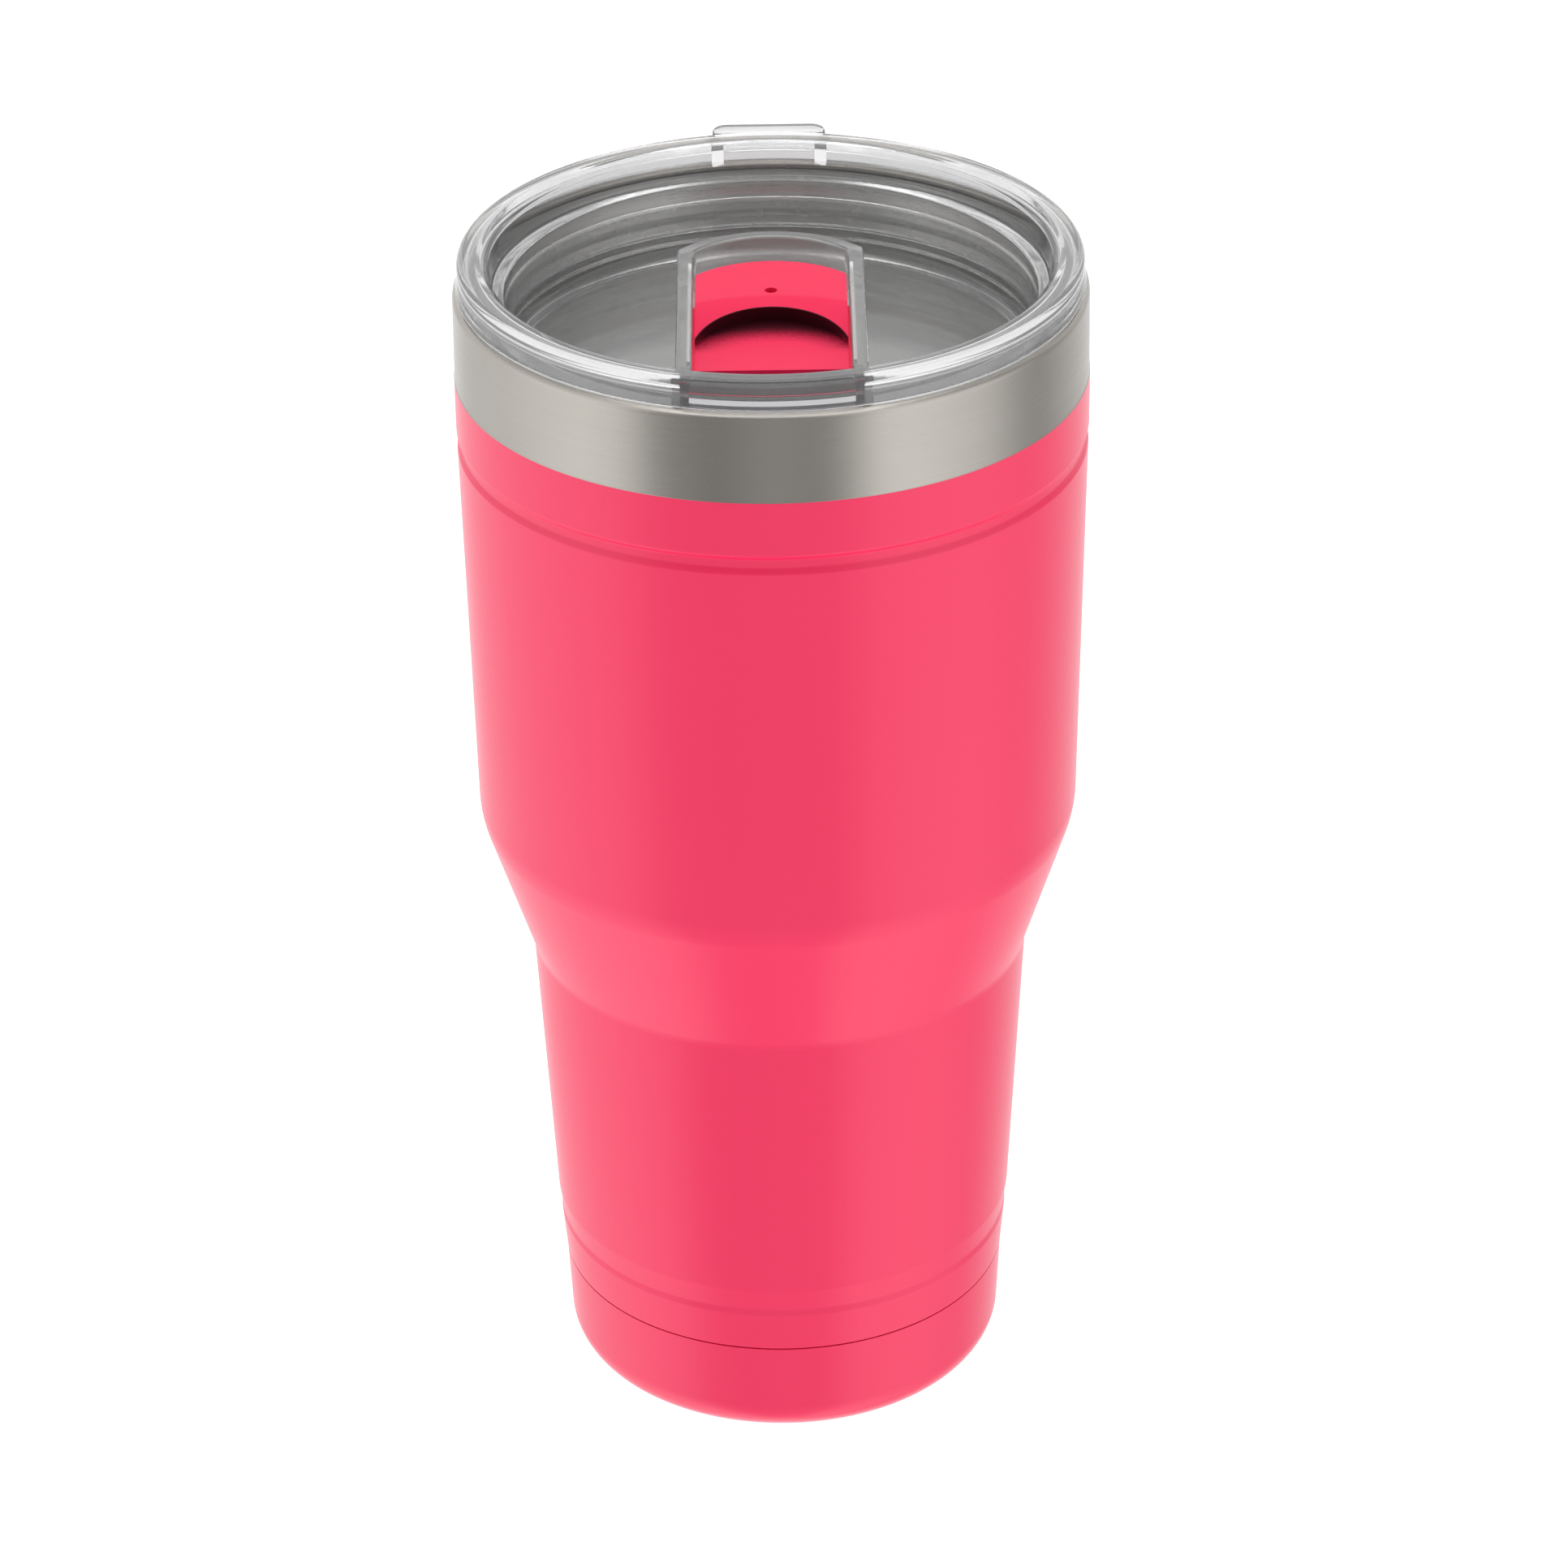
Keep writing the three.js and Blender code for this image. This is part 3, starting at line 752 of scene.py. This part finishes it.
# --- Slider and its pad ---------------------------------------------------------------------
# A solid moulded closure with two tongues that snap into the track's grooves. Its top is level
# at the back, rolls down to a thin front plate, and is scooped out to catch a fingertip. A
# silicone pad in its underside covers the slot. A small hole lets air in behind the drink.
SLIDER_LOW, SLIDER_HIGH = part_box("slider")
SLIDER_HALF = 0.0119
SLIDER_FRONT = SLIDER_LOW.y + 0.0011
SLIDER_BACK = SLIDER_HIGH.y
SLIDER_TOP = SLIDER_HIGH.z
SLIDER_BASE = SLIDER_LOW.z
PLATE_TOP = 0.1971
CREASE = -0.0125
CREASE_RADIUS = 0.0286
NOSE_RUN = 0.0096
NOSE_SLOPE = 0.14
NOSE_STEPS = 12
SCOOP = 0.0126
SCOOP_APEX = -0.016
UNDERCUT = math.radians(22)
SCOOP_RIM = SLIDER_TOP - 0.0004
TONGUE_HALF = SLIDER_HIGH.x
VENT_Y = -0.011
PAD_LOW, PAD_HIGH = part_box("slider_seal")

slider = arch(
    "thumb_slider", SLIDER_HALF, SLIDER_FRONT, SLIDER_BACK, 0.016, SLIDER_BASE, SLIDER_TOP, 0.0016
)

# The bowl above the nose is turned about an upright axis ahead of it, so the crease is curved.
bowl_line = [(0.001, PLATE_TOP)]
for step in range(NOSE_STEPS + 1):
    part = 1 - step / NOSE_STEPS
    curved = (SLIDER_TOP - PLATE_TOP - NOSE_SLOPE * NOSE_RUN) * part**2
    height = SLIDER_TOP - NOSE_SLOPE * NOSE_RUN * part - curved
    bowl_line.append((CREASE_RADIUS - NOSE_RUN * part, height))
bowl_line += [(CREASE_RADIUS + 0.0002, 0.21), (0.001, 0.21)]
bowl = turned("bowl", bowl_line)
close_ends(bowl, bowl_line[0], bowl_line[-1])
bowl.location.y = CREASE - CREASE_RADIUS
combine(slider, "DIFFERENCE", bowl)

# The fingertip's scoop is a drum that leans back under its rim, down to the plate's level.
scoop_y = SCOOP_APEX - SCOOP
scoop = drum("scoop", SCOOP, 0.185, 0.215, y=scoop_y, sides=256)
bpy.ops.transform.rotate(
    value=-UNDERCUT, orient_axis="X", center_override=(0, SCOOP_APEX, SCOOP_RIM)
)
bpy.ops.object.transform_apply()
combine(scoop, "INTERSECT", block("over_plate", (-0.02, -0.06, PLATE_TOP), (0.02, 0.0, 0.21)))
combine(slider, "DIFFERENCE", scoop)
modify(
    slider, "BEVEL", width=0.0002, segments=3, limit_method="ANGLE", angle_limit=math.radians(40)
)
tongues = block(
    "tongues", (-TONGUE_HALF, SLIDER_FRONT, SLIDER_BASE), (TONGUE_HALF, -0.008, SLIDER_BASE + 0.0014)
)
combine(slider, "UNION", tongues)
seat = block(
    "seat",
    (PAD_LOW.x - 0.0003, PAD_LOW.y - 0.001, SLIDER_BASE - 0.001),
    (PAD_HIGH.x + 0.0003, PAD_HIGH.y + 0.0003, PAD_HIGH.z + 0.0003),
)
hole = drum("hole", 0.001, SLIDER_BASE - 0.001, 0.21, y=VENT_Y, sides=48)
combine(slider, "DIFFERENCE", seat, hole)


def gloss_plastic():
    """Moulded plastic in the coating's colour, painted darker under the scoop as shade."""
    plastic = Finish("slider_plastic", IOR=1.49, Specular_IOR_Level=0.12)
    flow = plastic.noise(0.006, detail=1.0)
    grain = plastic.noise(0.0005, detail=2.0)
    x, y, z = plastic.split(plastic.place)
    along = y - scoop_y
    reach = calculate(plastic.tree, "SQRT", x * x * 0.45 + along * along)

    # How far a point is from the tilted axis of the scoop.
    axis_y = (SCOOP_RIM - z) * math.tan(UNDERCUT) + (SCOOP_APEX - SCOOP / math.cos(UNDERCUT))
    across = (y - axis_y) * math.cos(UNDERCUT)
    distance = calculate(plastic.tree, "SQRT", x * x + across * across)
    # Painted shade: the scoop's wall and floor are coloured nearly black, as the shade in its
    # pocket.
    wall = plastic.ramp(z, PLATE_TOP + 0.0002, PLATE_TOP + 0.0006)
    floor = plastic.ramp(reach + grain * 0.002, 0.0062, 0.0123)
    within = plastic.ramp(distance, SCOOP + 0.0002, SCOOP + 0.0001)
    within = within * plastic.ramp(along, 0.001, 0.004)
    within = within * plastic.ramp(z, PLATE_TOP - 0.0003, PLATE_TOP - 0.0001)
    painted_shade = calculate(plastic.tree, "MAXIMUM", wall, floor) * within
    unshaded = plastic.blend(flow, (0.95, 0.018, 0.092, 1), (0.97, 0.022, 0.102, 1))
    plastic.feed(
        # The nearly black colour is the pocket's painted shade.
        Base_Color=plastic.blend(painted_shade, unshaded, (0.06, 0.006, 0.012, 1)),
        Roughness=0.36 + 0.08 * grain,
    )
    plastic.relief(flow * 0.5 + grain * 0.5, 0.00002)
    return plastic


cover(slider, gloss_plastic())
smooth(slider, 30)
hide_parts("slider")
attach(slider, "slider")

pad = block("slot_pad", PAD_LOW, PAD_HIGH)
round_edges(pad, 0.0003, 3)
cover(pad, silicone_finish)
smooth(pad)
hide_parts("slider_seal")
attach(pad, "slider")


# --- Table and studio light -----------------------------------------------------------------
# A white light table, one soft box over it, and a sky whose brightness goes by bearing, like
# bright and dark studio walls. None of it belongs to the object, which mirrors the sky and
# the box, and not the table.
TABLE_SIZE = 8.0
bpy.ops.object.select_all(action="DESELECT")
bpy.ops.mesh.primitive_plane_add(size=TABLE_SIZE, location=(0, 0, 0))
table = bpy.context.object
table.name = "table"
white = Finish(
    "table_white",
    Base_Color=(0.3, 0.3, 0.3, 1),
    Roughness=0.9,
    Emission_Color=(1, 1, 1, 1),
    Emission_Strength=1.0,
)
cover(table, white)
table.visible_glossy = False

BOX_PLACE = Vector((0, 0.3, 1.4))
BOX_TARGET = Vector((0, 0, 0.12))
box = bpy.data.objects.new("box_top", bpy.data.lights.new("box_top", "AREA"))
bpy.context.scene.collection.objects.link(box)
box.data.shape = "RECTANGLE"
box.data.size = 1.0
box.data.size_y = 1.0
box.data.energy = 6
box.location = BOX_PLACE
box.rotation_euler = (BOX_TARGET - BOX_PLACE).to_track_quat("-Z", "Y").to_euler()

# The sky's brightness by the bearing from -Y in degrees: negative to the left, as seen by
# a person who looks along +Y, and positive to the right.
SKY = (
    (-180, 0.98), (-160, 0.85), (-145, 0.68), (-110, 0.78), (-90, 0.92), (-70, 1.00),
    (-54, 0.85), (-42, 0.36), (-20, 0.27), (0, 0.38), (20, 0.29), (29, 0.52), (38, 0.98),
    (52, 1.00), (80, 0.82), (96, 0.52), (110, 0.34), (126, 0.52), (150, 0.68), (180, 0.98),
)
sky = bpy.data.worlds.new("sky")
bpy.context.scene.world = sky
sky.use_nodes = True
air = sky.node_tree
direction = air.nodes.new("ShaderNodeTexCoord")
parts = air.nodes.new("ShaderNodeSeparateXYZ")
air.links.new(direction.outputs["Generated"], parts.inputs[0])
ahead = calculate(air, "MULTIPLY", parts.outputs["Y"], -1)
bearing = calculate(air, "ARCTAN2", parts.outputs["X"], ahead)
height = air.nodes.new("ShaderNodeMapRange")
for socket, value in zip(height.inputs, (parts.outputs["Z"], 0.35, 0.95, 1.24, 0.88)):
    plug(air, socket, value)
ramp = air.nodes.new("ShaderNodeValToRGB")
plug(air, ramp.inputs[0], bearing * (0.5 / math.pi) + 0.5)
stops = ramp.color_ramp.elements
for angle, _ in SKY[1:-1]:
    stops.new(angle / 360 + 0.5)
for stop, (angle, bright) in zip(stops, SKY):
    stop.color = (bright, bright, bright, 1)
plug(air, air.nodes["Background"].inputs["Color"], ramp.outputs[0])
plug(air, air.nodes["Background"].inputs["Strength"], height.outputs[0])

bpy.context.scene.view_settings.view_transform = "Standard"
